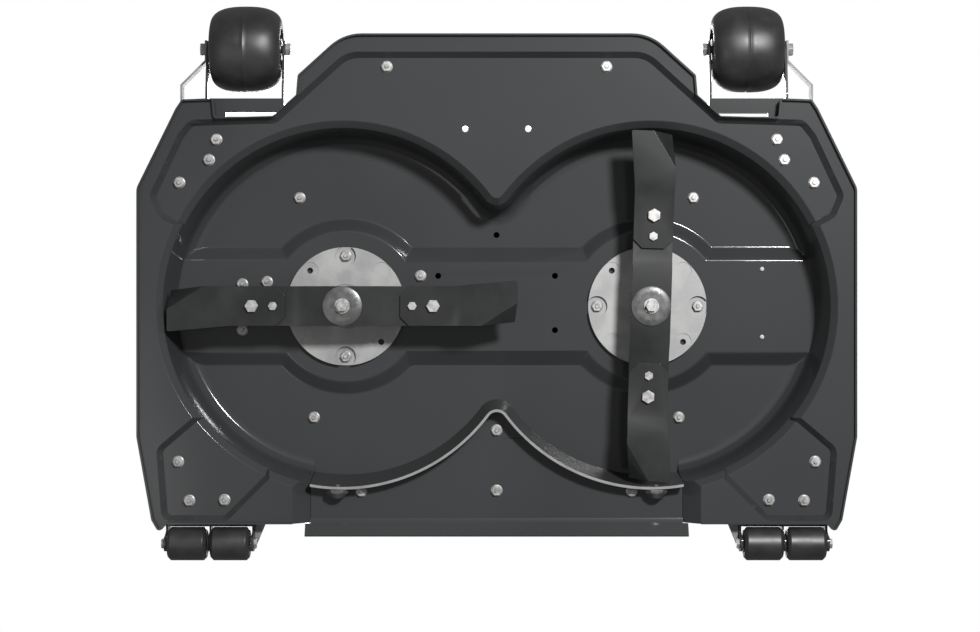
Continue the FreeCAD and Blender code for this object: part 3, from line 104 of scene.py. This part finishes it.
class Finish:
    """A material under construction, with its textures on object coordinates.

    What its textures change over the surface needs no plain value."""

    def __init__(self, name, roughness=0.5, metallic=0.0, coat=0.0, coat_roughness=0.1, shine=0.5):
        self.material = bpy.data.materials.new(name)
        self.material.use_nodes = True
        self.tree = self.material.node_tree
        self.shader = self.tree.nodes["Principled BSDF"]
        self.shader.inputs["Roughness"].default_value = roughness
        self.shader.inputs["Metallic"].default_value = metallic
        self.shader.inputs["Specular IOR Level"].default_value = shine
        self.shader.inputs["Coat Weight"].default_value = coat
        self.shader.inputs["Coat Roughness"].default_value = coat_roughness
        self.coordinates = self.tree.nodes.new("ShaderNodeTexCoord")
        self.place = self.coordinates.outputs["Object"]

    def stretched(self, factors):
        """Object coordinates, scaled by a factor along each axis."""
        node = self.tree.nodes.new("ShaderNodeMapping")
        node.inputs["Scale"].default_value = factors
        self.tree.links.new(self.place, node.inputs["Vector"])
        return node.outputs["Vector"]

    def noise(self, scale, detail=3.0, roughness=0.5, factors=(1.0, 1.0, 1.0)):
        node = self.tree.nodes.new("ShaderNodeTexNoise")
        node.inputs["Scale"].default_value = scale
        node.inputs["Detail"].default_value = detail
        node.inputs["Roughness"].default_value = roughness
        self.tree.links.new(self.stretched(factors), node.inputs["Vector"])
        return Socket(self.tree, node.outputs["Fac"])

    def upward(self):
        """How far the surface faces up: 1 upwards, 0 sideways and -1 downwards."""
        node = self.tree.nodes.new("ShaderNodeSeparateXYZ")
        self.tree.links.new(self.coordinates.outputs["Normal"], node.inputs[0])
        return Socket(self.tree, node.outputs["Z"])

    def plain_colour(self, colour):
        self.shader.inputs["Base Color"].default_value = (*colour, 1.0)

    def mixed_colour(self, factor, first, second):
        """A base colour that runs from the first to the second as the factor goes from 0 to 1."""
        node = self.tree.nodes.new("ShaderNodeMix")
        node.data_type = "RGBA"
        node.inputs["A"].default_value = (*first, 1.0)
        node.inputs["B"].default_value = (*second, 1.0)
        self.tree.links.new(factor.value, node.inputs["Factor"])
        self.tree.links.new(node.outputs["Result"], self.shader.inputs["Base Color"])

    def rough(self, socket):
        self.tree.links.new(socket.value, self.shader.inputs["Roughness"])

    def coated(self, socket):
        self.tree.links.new(socket.value, self.shader.inputs["Coat Weight"])

    def bump(self, height, strength, distance):
        node = self.tree.nodes.new("ShaderNodeBump")
        node.inputs["Strength"].default_value = strength
        node.inputs["Distance"].default_value = distance
        self.tree.links.new(height.value, node.inputs["Height"])
        self.tree.links.new(node.outputs["Normal"], self.shader.inputs["Normal"])


# %% Finishes


def painted_steel():
    """Black paint, glossy underneath and duller on top."""
    finish = Finish("black_paint", coat_roughness=0.12, shine=0.12)
    broad = finish.noise(3.0, 2.0)
    peel = finish.noise(420.0, 2.0)
    finish.mixed_colour(broad.between(0.3, 0.7), (0.021, 0.022, 0.023), (0.027, 0.028, 0.029))
    finish.rough(broad.between(0.25, 0.75, 0.55, 0.65))
    finish.coated(finish.upward().between(0.02, 0.25, 0.6, 0.08))
    finish.bump(peel, 0.04, 0.0004)
    return finish.material


def painted_highlight_edge_steel():
    """The baffle's black paint with a painted highlight: patchy grey on the edge that faces the
    ground, where the lamp below lights it.
    """
    finish = Finish("painted_highlight_edge_steel", coat=0.4, coat_roughness=0.2, shine=0.3)
    # Painted highlight: the downward-facing edge is turned grey in patches, standing in for light
    # from below.
    down = (finish.upward() * -1.0).between(0.75, 0.95)
    patchy_highlight = finish.noise(40.0, 4.0).between(0.2, 0.6, 0.7, 1.0)
    finish.mixed_colour(down * patchy_highlight, (0.024, 0.025, 0.026), (0.2, 0.2, 0.2))
    return finish.material


def blade_steel():
    finish = Finish("blade_paint", coat=0.7, coat_roughness=0.16, shine=0.12)
    wear = finish.noise(14.0, 5.0, 0.6)
    finish.mixed_colour(wear.between(0.35, 0.7), (0.008, 0.0085, 0.009), (0.014, 0.0145, 0.015))
    finish.rough(wear.between(0.3, 0.7, 0.42, 0.52))
    finish.bump(finish.noise(260.0, 3.0), 0.06, 0.0004)
    return finish.material


def cast_aluminium():
    finish = Finish("cast_aluminium", metallic=0.5)
    grain = finish.noise(500.0, 4.0, 0.6)
    patches = finish.noise(24.0, 4.0)
    finish.mixed_colour(patches.between(0.35, 0.7), (0.2, 0.2, 0.2), (0.28, 0.28, 0.275))
    finish.rough(patches.between(0.3, 0.7, 0.5, 0.6))
    finish.bump(grain, 0.25, 0.0005)
    return finish.material


def zinc():
    finish = Finish("zinc_plate", metallic=0.5)
    patches = finish.noise(120.0, 3.0)
    finish.mixed_colour(patches.between(0.3, 0.7), (0.2, 0.198, 0.193), (0.34, 0.336, 0.328))
    finish.rough(patches.between(0.3, 0.7, 0.4, 0.5))
    finish.bump(finish.noise(900.0, 2.0), 0.05, 0.0002)
    return finish.material


def dull_zinc():
    finish = Finish("dull_zinc", metallic=0.35)
    patches = finish.noise(60.0, 4.0)
    finish.mixed_colour(patches.between(0.3, 0.7), (0.15, 0.148, 0.144), (0.21, 0.208, 0.203))
    finish.rough(patches.between(0.3, 0.7, 0.6, 0.7))
    return finish.material


def washer_steel():
    finish = Finish("washer_steel", metallic=0.3, coat=0.3, coat_roughness=0.2)
    rings = finish.noise(90.0, 3.0)
    finish.mixed_colour(rings.between(0.3, 0.7), (0.05, 0.05, 0.051), (0.075, 0.075, 0.076))
    finish.rough(rings.between(0.3, 0.7, 0.36, 0.48))
    return finish.material


def ground_steel():
    finish = Finish("ground_steel", metallic=1.0)
    rings = finish.noise(60.0, 3.0, 0.5, (1.0, 1.0, 30.0))
    finish.mixed_colour(rings.between(0.3, 0.7), (0.43, 0.43, 0.43), (0.55, 0.55, 0.54))
    finish.rough(rings.between(0.3, 0.7, 0.22, 0.36))
    return finish.material


def sintered_steel():
    finish = Finish("sintered_steel", roughness=0.45, metallic=0.9)
    grain = finish.noise(700.0, 3.0)
    finish.mixed_colour(grain.between(0.3, 0.7), (0.22, 0.22, 0.23), (0.31, 0.31, 0.32))
    finish.bump(grain, 0.2, 0.0004)
    return finish.material


def tyre_rubber():
    finish = Finish("tyre_rubber")
    mottled = finish.noise(30.0, 4.0)
    finish.mixed_colour(mottled.between(0.3, 0.7), (0.011, 0.011, 0.012), (0.017, 0.017, 0.018))
    finish.rough(mottled.between(0.3, 0.7, 0.38, 0.48))
    finish.bump(finish.noise(350.0, 3.0), 0.06, 0.0004)
    return finish.material


def belt_rubber():
    finish = Finish("belt_rubber", roughness=0.7)
    weave = finish.noise(900.0, 2.0, 0.5, (0.2, 0.2, 1.0))
    finish.mixed_colour(weave.between(0.3, 0.7), (0.012, 0.012, 0.012), (0.022, 0.022, 0.022))
    finish.bump(weave, 0.3, 0.0004)
    return finish.material


def moulded_plastic():
    finish = Finish("moulded_plastic")
    finish.plain_colour((0.022, 0.022, 0.023))
    grain = finish.noise(800.0, 3.0)
    finish.rough(grain.between(0.3, 0.7, 0.46, 0.56))
    finish.bump(grain, 0.2, 0.0005)
    return finish.material


FINISHES = {
    "painted_steel": painted_steel(),
    "blade_steel": blade_steel(),
    "housing": cast_aluminium(),
    "zinc": zinc(),
    "bearing_steel": ground_steel(),
    "sintered": sintered_steel(),
    "tyre": tyre_rubber(),
    "belt": belt_rubber(),
    "black_plastic": moulded_plastic(),
}

# Some nodes differ from the rest of their slot.
BRACES = ("wheel_brace_left", "wheel_brace_right", "roller_gusset_left", "roller_gusset_right")
WASHERS = ("cup_washer_left", "cup_washer_right", "baffle_knobs")
DULL_ZINC = dull_zinc()
WASHER_STEEL = washer_steel()
FINISH_OF = {node: FINISHES[slot] for node, slot in SLOT_OF.items()}
FINISH_OF.update({node: DULL_ZINC for node in BRACES})
FINISH_OF.update({node: WASHER_STEEL for node in WASHERS})
# The baffle's paint carries a painted highlight on its downward-facing edge.
FINISH_OF["discharge_baffle"] = painted_highlight_edge_steel()

# %% Rounded edges
# A CAD node's own mesh stays as it is. Modifiers join its triangles, round its edges and shade it.


def empty_group(name):
    group = bpy.data.node_groups.new(name, "GeometryNodeTree")
    group.interface.new_socket("Geometry", in_out="INPUT", socket_type="NodeSocketGeometry")
    group.interface.new_socket("Geometry", in_out="OUTPUT", socket_type="NodeSocketGeometry")
    return group, group.nodes.new("NodeGroupInput"), group.nodes.new("NodeGroupOutput")


def shading_group(angle):
    """A node group that shades smooth across edges flatter than the angle."""
    group, start, end = empty_group("shade_by_angle")
    faces = group.nodes.new("GeometryNodeSetShadeSmooth")
    edges = group.nodes.new("GeometryNodeSetShadeSmooth")
    edges.domain = "EDGE"
    bend = group.nodes.new("GeometryNodeInputMeshEdgeAngle")
    flat = group.nodes.new("FunctionNodeCompare")
    flat.operation = "LESS_THAN"
    flat.inputs[1].default_value = angle
    link = group.links.new
    link(start.outputs[0], faces.inputs["Geometry"])
    link(faces.outputs[0], edges.inputs["Geometry"])
    link(bend.outputs["Unsigned Angle"], flat.inputs[0])
    link(flat.outputs[0], edges.inputs["Shade Smooth"])
    link(edges.outputs[0], end.inputs[0])
    return group


# Which of the shell's creases are wide: those on the roof and round both mouths, by the angle and
# the length of their edges, and clear of the cusp between the mouths.
SPINDLE_SIDE = 0.25
SPINDLE_AHEAD = -0.0395
MOUTH_RADIUS = 0.297
MOUTH_HALF = 0.009
ROOF_HEIGHT = 0.1
CUSP_HALF = 0.06
CUSP_CLEAR = 0.15
FLATTEST_CREASE = math.radians(20)
STEEPEST_CREASE = math.radians(65)
SHORTEST_CREASE = 0.007
MOUTH_SHARE = 0.45


def weighing_group():
    """A node group for bevel weights away from the cusp: the roof's long creases get the whole
    bevel, those round the mouth's underside a share of it, and no other edge gets any."""
    group, start, end = empty_group("bevel_by_angle")
    link = group.links.new

    def compared(operation, source, limit):
        test = group.nodes.new("FunctionNodeCompare")
        test.operation = operation
        test.inputs[1].default_value = limit
        link(source.value, test.inputs[0])
        return Socket(group, test.outputs[0])

    def axes(kind):
        parts = group.nodes.new("ShaderNodeSeparateXYZ")
        link(group.nodes.new(kind).outputs[0], parts.inputs[0])
        return [Socket(group, parts.outputs[axis]) for axis in "XYZ"]

    angle = group.nodes.new("GeometryNodeInputMeshEdgeAngle")
    bend = Socket(group, angle.outputs["Unsigned Angle"])
    ends = group.nodes.new("GeometryNodeInputMeshEdgeVertices")
    span = group.nodes.new("ShaderNodeVectorMath")
    span.operation = "DISTANCE"
    link(ends.outputs["Position 1"], span.inputs[0])
    link(ends.outputs["Position 2"], span.inputs[1])
    length = Socket(group, span.outputs["Value"])
    x, y, z = axes("GeometryNodeInputPosition")
    upward = axes("GeometryNodeInputNormal")[2]
    across = (x.absolute() - SPINDLE_SIDE).absolute().power(2.0)
    ahead = (y - SPINDLE_AHEAD).absolute().power(2.0)
    off_mouth = ((across + ahead).power(0.5) - MOUTH_RADIUS).absolute()
    roof = compared("GREATER_THAN", z, ROOF_HEIGHT)
    mouth = compared("LESS_EQUAL", z, ROOF_HEIGHT)
    mouth *= compared("LESS_EQUAL", off_mouth, MOUTH_HALF)
    mouth *= compared("LESS_EQUAL", upward, 0.0)
    crease = compared("GREATER_THAN", bend, FLATTEST_CREASE)
    crease *= compared("LESS_EQUAL", bend, STEEPEST_CREASE)
    crease *= compared("GREATER_THAN", length, SHORTEST_CREASE)
    wide = (roof + mouth * MOUTH_SHARE) * x.absolute().between(CUSP_HALF, CUSP_CLEAR)
    weight = crease * wide
    store = group.nodes.new("GeometryNodeStoreNamedAttribute")
    store.data_type = "FLOAT"
    store.domain = "EDGE"
    store.inputs["Name"].default_value = "bevel_weight_edge"
    link(start.outputs[0], store.inputs["Geometry"])
    link(weight.value, store.inputs["Value"])
    link(store.outputs[0], end.inputs[0])
    return group


SMOOTH_ANGLE = math.radians(50)
SHADE = shading_group(SMOOTH_ANGLE)
WEIGH = weighing_group()
WELD_REACH = 1e-6
FLAT_ANGLE = math.radians(0.5)
BEVEL_ANGLE = math.radians(30)
BEVEL_WIDTH = 0.0008
BEVEL_SEGMENTS = 2
CREASE_WIDTHS = {"deck_shell": 0.0022}


def dress(node):
    """Join a node's triangles, round its edges and shade it."""
    item = nodes[node]
    weld = item.modifiers.new("join", "WELD")
    weld.merge_threshold = WELD_REACH
    flat = item.modifiers.new("faces", "DECIMATE")
    flat.decimate_type = "DISSOLVE"
    flat.angle_limit = FLAT_ANGLE
    if node in CREASE_WIDTHS:
        item.modifiers.new("weights", "NODES").node_group = WEIGH
        crease = item.modifiers.new("creases", "BEVEL")
        crease.width = CREASE_WIDTHS[node]
        crease.segments = BEVEL_SEGMENTS
        crease.limit_method = "WEIGHT"
        crease.use_clamp_overlap = False
    edge = item.modifiers.new("edges", "BEVEL")
    edge.width = BEVEL_WIDTH
    edge.segments = BEVEL_SEGMENTS
    edge.limit_method = "ANGLE"
    edge.angle_limit = BEVEL_ANGLE
    edge.use_clamp_overlap = True
    shade = item.modifiers.new("shade", "NODES")
    shade.node_group = SHADE
    weigh = item.modifiers.new("weigh", "WEIGHTED_NORMAL")
    weigh.keep_sharp = True
    item.data.materials.clear()
    item.data.materials.append(FINISH_OF[node])


for node in sorted(nodes):
    dress(node)

# %% Tyres
# The CAD wheel's shoulder has a few flats. This one is a smooth barrel with a fine mould seam.
BARREL_DEPTH = 0.031
BARREL_POWER = 2.6
BARREL_STEPS = 24
TYRE_STEPS = 96
SEAM_HALF = 0.0005
SEAM_FOOT_HALF = 0.00075
SEAM_HEIGHT = 0.00015
AXLE_RADIUS = 0.00641
HUB_WALL = 0.011
HUB_FOOT_WALL = 0.013
HUB_SINK = 0.009
SIDE_FOOT_DEPTH = 0.038
SIDE_DEPTH = 0.035


def tyre_profile(half, rim):
    """Half of the barrel's section, from the bore to the crown: along the axle and out from it."""
    points = [
        (half, AXLE_RADIUS),
        (half, AXLE_RADIUS + HUB_WALL),
        (half - HUB_SINK, AXLE_RADIUS + HUB_FOOT_WALL),
        (half - HUB_SINK, rim - SIDE_FOOT_DEPTH),
        (half, rim - SIDE_DEPTH),
    ]
    for step in range(BARREL_STEPS):
        angle = math.pi / 2 * step / BARREL_STEPS
        along = half * math.cos(angle) ** (2 / BARREL_POWER)
        sunk = BARREL_DEPTH * (1 - math.sin(angle) ** (2 / BARREL_POWER))
        points.append((along, rim - sunk))
    points.append((SEAM_FOOT_HALF, rim))
    points.append((SEAM_HALF, rim + SEAM_HEIGHT))
    return points


def spun(name, profile, centre, steps):
    """A closed section turned about an axle along X."""
    count = len(profile)
    vertices = []
    for step in range(steps):
        angle = 2 * math.pi * step / steps
        for along, out in profile:
            vertices.append(centre + Vector((along, out * math.cos(angle), out * math.sin(angle))))
    faces = []
    for step in range(steps):
        here = step * count
        there = (step + 1) % steps * count
        for index in range(count):
            after = (index + 1) % count
            faces.append((here + index, here + after, there + after, there + index))
    mesh = bpy.data.meshes.new(name)
    mesh.from_pydata(vertices, [], faces)
    solid = bmesh.new()
    solid.from_mesh(mesh)
    bmesh.ops.recalc_face_normals(solid, faces=solid.faces)
    solid.to_mesh(mesh)
    solid.free()
    piece = bpy.data.objects.new(name, mesh)
    scene.collection.objects.link(piece)
    return piece


def tyre(node):
    """A barrel tyre that stands for a CAD wheel and turns with its body."""
    box = [nodes[node].matrix_world @ Vector(corner) for corner in nodes[node].bound_box]
    low = Vector([min(corner[axis] for corner in box) for axis in range(3)])
    high = Vector([max(corner[axis] for corner in box) for axis in range(3)])
    half = (high.x - low.x) / 2
    profile = tyre_profile(half, (high.z - low.z) / 2 - SEAM_HEIGHT)
    profile += [(-along, out) for along, out in reversed(profile)]
    piece = spun("tyre_" + node, profile, (low + high) / 2, TYRE_STEPS)
    piece.modifiers.new("shade", "NODES").node_group = SHADE
    piece.data.materials.append(FINISH_OF[node])
    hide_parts(node)
    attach(piece, BODY_OF[node])


for node in ("gauge_wheel_left", "gauge_wheel_right"):
    tyre(node)

# %% Nut flanges
# A nut in the CAD model is a plain hexagon. Every upright one gets a round flange and a bolt end.
NUT_FLATS = 0.015
NUT_HEIGHT = 0.007
LEAST_HEIGHT_SHARE = 0.8
FLANGE_RADIUS = 0.0096
FLANGE_HEIGHT = 0.0014
FLANGE_SIDES = 32
SKIRT_HEIGHT = 0.0013
BOLT_RADIUS = 0.0037
BOLT_END = 0.0028
BOLT_SIDES = 20
TIP_SHARE = 0.8
BOLTED = ("housing_bolts", "panel_bolts", "cover_bolts", "hanger_bolts", "wheel_bracket_bolts",
          "roller_bracket_bolts")


def islands(node):
    """The lowest and highest corner of every separate body in a node's mesh, in a fixed order."""
    mesh = bmesh.new()
    mesh.from_mesh(nodes[node].data)
    mesh.transform(nodes[node].matrix_world)
    bmesh.ops.remove_doubles(mesh, verts=mesh.verts, dist=WELD_REACH)
    unseen = set(mesh.verts)
    boxes = []
    while unseen:
        waiting = [unseen.pop()]
        reached = []
        while waiting:
            vertex = waiting.pop()
            reached.append(vertex.co.copy())
            near = {edge.other_vert(vertex) for edge in vertex.link_edges} & unseen
            unseen -= near
            waiting.extend(near)
        low = Vector([min(point[axis] for point in reached) for axis in range(3)])
        high = Vector([max(point[axis] for point in reached) for axis in range(3)])
        boxes.append((low, high))
    mesh.free()
    return sorted(boxes, key=lambda box: tuple(box[0]))


def nut_seats():
    """Where each upright nut meets the sheet above it, and its size beside the standard nut.

    An upright bolt is tall for its width, and two corners of its hexagon lie along X."""
    seats = []
    for node in BOLTED:
        for low, high in islands(node):
            size = high - low
            if size.z > size.x * LEAST_HEIGHT_SHARE and size.x > size.y:
                scale = size.y / NUT_FLATS
                middle = (low + high) / 2
                seats.append((Vector((middle.x, middle.y, low.z + NUT_HEIGHT * scale)), scale))
    return seats


def flange_group(material):
    """A node group that sets a flange and a bolt end on every point, at the point's own size."""
    group, start, end = empty_group("nut_flanges")
    link = group.links.new
    joined = group.nodes.new("GeometryNodeJoinGeometry")
    rounds = (
        (FLANGE_RADIUS, FLANGE_RADIUS, FLANGE_HEIGHT, 0.0, FLANGE_SIDES),
        (FLANGE_RADIUS * TIP_SHARE, FLANGE_RADIUS, SKIRT_HEIGHT, -FLANGE_HEIGHT, FLANGE_SIDES),
        (BOLT_RADIUS * TIP_SHARE, BOLT_RADIUS, BOLT_END, -NUT_HEIGHT, BOLT_SIDES),
    )
    for lower, upper, depth, top, sides in rounds:
        cone = group.nodes.new("GeometryNodeMeshCone")
        cone.inputs["Vertices"].default_value = sides
        cone.inputs["Radius Bottom"].default_value = lower
        cone.inputs["Radius Top"].default_value = upper
        cone.inputs["Depth"].default_value = depth
        shift = group.nodes.new("GeometryNodeTransform")
        shift.inputs["Translation"].default_value = (0.0, 0.0, top - depth)
        link(cone.outputs["Mesh"], shift.inputs["Geometry"])
        link(shift.outputs[0], joined.inputs[0])
    size = group.nodes.new("GeometryNodeInputNamedAttribute")
    size.data_type = "FLOAT"
    size.inputs["Name"].default_value = "size"
    copies = group.nodes.new("GeometryNodeInstanceOnPoints")
    real = group.nodes.new("GeometryNodeRealizeInstances")
    painted = group.nodes.new("GeometryNodeSetMaterial")
    painted.inputs["Material"].default_value = material
    link(start.outputs[0], copies.inputs["Points"])
    link(joined.outputs[0], copies.inputs["Instance"])
    link(size.outputs[0], copies.inputs["Scale"])
    link(copies.outputs[0], real.inputs[0])
    link(real.outputs[0], painted.inputs["Geometry"])
    link(painted.outputs[0], end.inputs[0])
    return group


def grown(name, points, sizes, group, node):
    """A piece made by a node group on a set of points. It rides on the body of a CAD node."""
    seed = bpy.data.meshes.new(name + "_points")
    seed.from_pydata(points, [], [])
    seed.attributes.new("size", "FLOAT", "POINT").data.foreach_set("value", sizes)
    maker = bpy.data.objects.new(name + "_maker", seed)
    scene.collection.objects.link(maker)
    for title, chosen_group in (("build", group), ("shade", SHADE)):
        maker.modifiers.new(title, "NODES").node_group = chosen_group
    ready = maker.evaluated_get(bpy.context.evaluated_depsgraph_get())
    mesh = bpy.data.meshes.new_from_object(ready)
    bpy.data.objects.remove(maker)
    piece = bpy.data.objects.new(name, mesh)
    scene.collection.objects.link(piece)
    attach(piece, BODY_OF[node])


seats = nut_seats()
places = [place for place, _ in seats]
scales = [scale for _, scale in seats]
grown("nut_flanges", places, scales, flange_group(FINISHES["zinc"]), "housing_bolts")

# %% Camera
# It looks straight up at the deck's underside, with the front at the top of the picture.
CAMERA_PLACE = (0.0109, -0.0556, -3.40)
SENSOR_WIDTH = 36.0
FOCAL_LENGTH = 77.85

camera = bpy.data.objects.new("camera", bpy.data.cameras.new("camera"))
scene.collection.objects.link(camera)
scene.camera = camera
camera.data.sensor_width = SENSOR_WIDTH
camera.data.lens = FOCAL_LENGTH
camera.matrix_world = Matrix.Translation(CAMERA_PLACE) @ Matrix.Diagonal((-1.0, 1.0, -1.0, 1.0))

# %% Lamps and background
LAMP_TARGET = Vector((0.0, 0.0, 0.1))
SKY_GREY = 0.8
SKY_STRENGTH = 0.34


def lamp(name, place, size, watts):
    """A round lamp that points at the middle of the deck."""
    data = bpy.data.lights.new(name, "AREA")
    data.shape = "DISK"
    data.size = size
    data.energy = watts
    item = bpy.data.objects.new(name, data)
    item.location = place
    item.rotation_euler = (LAMP_TARGET - Vector(place)).to_track_quat("-Z", "Y").to_euler()
    item.visible_camera = False
    scene.collection.objects.link(item)


lamp("key", (-1.05, 1.25, -3.0), 0.45, 190.0)
lamp("fill_below", (1.8, -0.6, -2.6), 2.0, 14.0)
lamp("above", (0.15, 0.1, 3.0), 1.4, 110.0)

# The camera sees white, and the deck is lit by a dimmer grey.
world = bpy.data.worlds.new("studio")
scene.world = world
world.use_nodes = True
tree = world.node_tree
background = tree.nodes["Background"]
background.inputs["Color"].default_value = (SKY_GREY, SKY_GREY, SKY_GREY, 1.0)
background.inputs["Strength"].default_value = SKY_STRENGTH
white = tree.nodes.new("ShaderNodeBackground")
white.inputs["Color"].default_value = (1.0, 1.0, 1.0, 1.0)
path = tree.nodes.new("ShaderNodeLightPath")
chosen = tree.nodes.new("ShaderNodeMixShader")
tree.links.new(path.outputs["Is Camera Ray"], chosen.inputs["Fac"])
tree.links.new(background.outputs[0], chosen.inputs[1])
tree.links.new(white.outputs[0], chosen.inputs[2])
tree.links.new(chosen.outputs[0], tree.nodes["World Output"].inputs["Surface"])
scene.view_settings.view_transform = "Standard"
